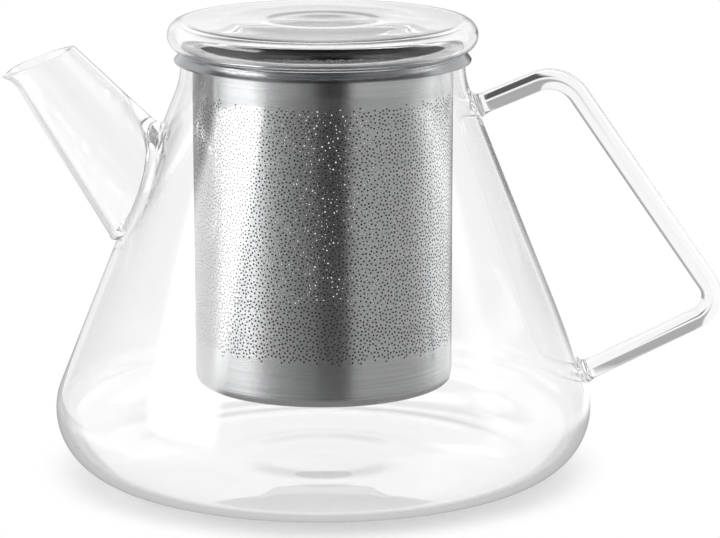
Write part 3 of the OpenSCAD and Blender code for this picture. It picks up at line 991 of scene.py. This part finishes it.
def table_finish():
    """Satin white laminate: white to the eye, with the soft shadow near the pot.

    Through glass and in mirrorings its light and shade are painted.
    """
    finish, tree, out = new_material("satin_white_laminate")
    place = add_node(tree, "ShaderNodeTexCoord").outputs["Object"]
    x, y, _ = add_node(tree, "ShaderNodeSeparateXYZ", Vector=place).outputs
    far = add_node(tree, "ShaderNodeVectorMath", {"operation": "LENGTH"}, i0=place).outputs["Value"]
    light = add_node(tree, "ShaderNodeLightPath").outputs
    # Fades, in metres from the axis or behind it: past the shadow, the pot and the mirrored painted shade.
    fades = []
    for reach, begin, end, first in ((far, 0.064, 0.090, 0.05), (y, 0.130, 0.150, 0), (far, 0.11, 0.155, 0)):
        fades.append(add_node(tree, FADE, {
            "From Min": begin, "From Max": end, "To Min": first, "interpolation_type": "SMOOTHSTEP",
        }, Value=reach).outputs["Result"])
    past_shadow, past_pot, past_painted_shade = fades
    surface = add_node(tree, "ShaderNodeBsdfPrincipled", {
        "Base Color": linear("#F4F4F4"), "Roughness": 0.35, "Specular IOR Level": 0.3})
    white = add_node(tree, "ShaderNodeEmission", {"Strength": 1.0})
    # Through glass the table is painted nearly white: painted light over the shadow near the pot.
    painted_light_through_glass = add_node(tree, MATH, {**TIMES, 1: 0.93}, i0=light["Is Transmission Ray"])
    bright = add_node(tree, MATH, {"operation": "MAXIMUM"}, i0=past_shadow, i1=painted_light_through_glass.outputs[0])
    seen = add_node(tree, "ShaderNodeMixShader",
                    i0=bright.outputs[0], i1=surface.outputs["BSDF"], i2=white.outputs["Emission"])
    # Through glass, the white behind it begins close to the pot.
    gone = add_node(tree, MATH, TIMES, i0=light["Is Transmission Ray"], i1=past_pot)
    beyond = add_node(tree, "ShaderNodeBsdfTransparent")
    through = add_node(tree, "ShaderNodeMixShader",
                       i0=gone.outputs[0], i1=seen.outputs["Shader"], i2=beyond.outputs["BSDF"])
    # Mirrored, it glows with painted shade under the pot and the panels' painted grey levels further out,
    # and inside the glass it is painted paler.
    panels, _ = panel_ring(tree, x, y)
    passed, mirrorings = light["Transmission Depth"], light["Glossy Depth"]
    inside = add_node(tree, MATH, {"operation": "COMPARE", 1: IN_GLASS, 2: 0.5}, i0=passed)
    caught = add_node(tree, MATH, {"operation": "GREATER_THAN", 1: CAUGHT_AFTER}, i0=mirrorings)
    painted_paler = add_node(tree, MATH, {"operation": "MAXIMUM"}, i0=inside.outputs[0], i1=caught.outputs[0])
    near = add_node(tree, FADE, {"To Min": 0.35, "To Max": 0.65}, Value=painted_paler.outputs[0])
    painted_panel_glow = add_node(tree, MIX, {**COLOUR, 7: grey(0.85)}, i0=painted_paler.outputs[0], i6=panels)
    shade = add_node(tree, MIX, COLOUR, i0=past_painted_shade, i6=near.outputs["Result"], i7=painted_panel_glow.outputs[2])
    mirrored = add_node(tree, "ShaderNodeEmission", {"Strength": 1.0}, Color=shade.outputs[2])
    bounced = add_node(tree, MATH, {"operation": "GREATER_THAN", 1: 0.5}, i0=mirrorings)
    mixed = add_node(tree, "ShaderNodeMixShader",
                     i0=bounced.outputs[0], i1=through.outputs["Shader"], i2=mirrored.outputs["Emission"])
    tree.links.new(mixed.outputs["Shader"], out.inputs["Surface"])
    return finish


def white_table():
    """A round table top, in metres, just under the pot's foot."""
    radius, drop, corners = 0.27, 0.0002, 96
    mesh = bpy.data.meshes.new("table")
    turns = np.linspace(0, 2 * math.pi, corners, endpoint=False)
    rim = [(radius * math.cos(a), radius * math.sin(a), 0) for a in turns]
    mesh.from_pydata(rim, [], [tuple(range(corners))])
    table = bpy.data.objects.new("table", mesh)
    table.location.z = -drop
    bpy.context.scene.collection.objects.link(table)
    mesh.materials.append(table_finish())


def soft_top_lamp():
    """One broad soft lamp overhead, which glass and metal don't show."""
    lamp = bpy.data.lights.new("soft_top", "AREA")
    lamp.shape = "RECTANGLE"
    lamp.size = 1.6
    lamp.size_y = 1.2
    lamp.energy = 9
    hung = bpy.data.objects.new("soft_top", lamp)
    hung.location = (-0.1, 0.1, 1.3)
    hung.visible_glossy = False
    hung.visible_transmission = False
    bpy.context.scene.collection.objects.link(hung)


def place_camera():
    lens = bpy.data.cameras.new("camera")
    lens.sensor_width = 36
    lens.lens = CAMERA_LENS
    lens.clip_end = 50
    eye = bpy.data.objects.new("camera", lens)
    eye.location = CAMERA_PLACE
    eye.rotation_euler = (math.pi / 2 - CAMERA_DOWN, 0, CAMERA_TURN)
    bpy.context.scene.collection.objects.link(eye)
    bpy.context.scene.camera = eye


place_camera()
white_studio()
white_table()
soft_top_lamp()
glass = clear_borosilicate()
# The outside is brushed and bright; the rim, pressed over a die, is smoother, and set a darker grey;
# the inside is a much darker, duller copy of the same steel: painted shade inside the strainer.
steel = steel_sheet("brushed_stainless_steel", "#BBBCBD", "#CBCCCD", 0.21, 0.25, 0.85)
pressed = steel_sheet("pressed_stainless_steel", "#96979A", "#A0A1A3", 0.15, 0.18, 0.2)
rolled = steel_sheet("dark_steel_painted_shade", "#3A3B3C", "#444546", 0.40, 0.48, 0.3)
blown_pot(glass)
glass_lid(glass)
strainer_wall(steel, rolled)
strainer_base(steel, rolled)
strainer_rim(pressed)

bpy.context.scene.view_settings.view_transform = "Standard"
bpy.context.scene.cycles.max_bounces = 64
bpy.context.scene.cycles.transmission_bounces = 64
bpy.context.scene.cycles.glossy_bounces = 48
bpy.context.scene.cycles.blur_glossy = 0.0

bpy.context.view_layer.update()
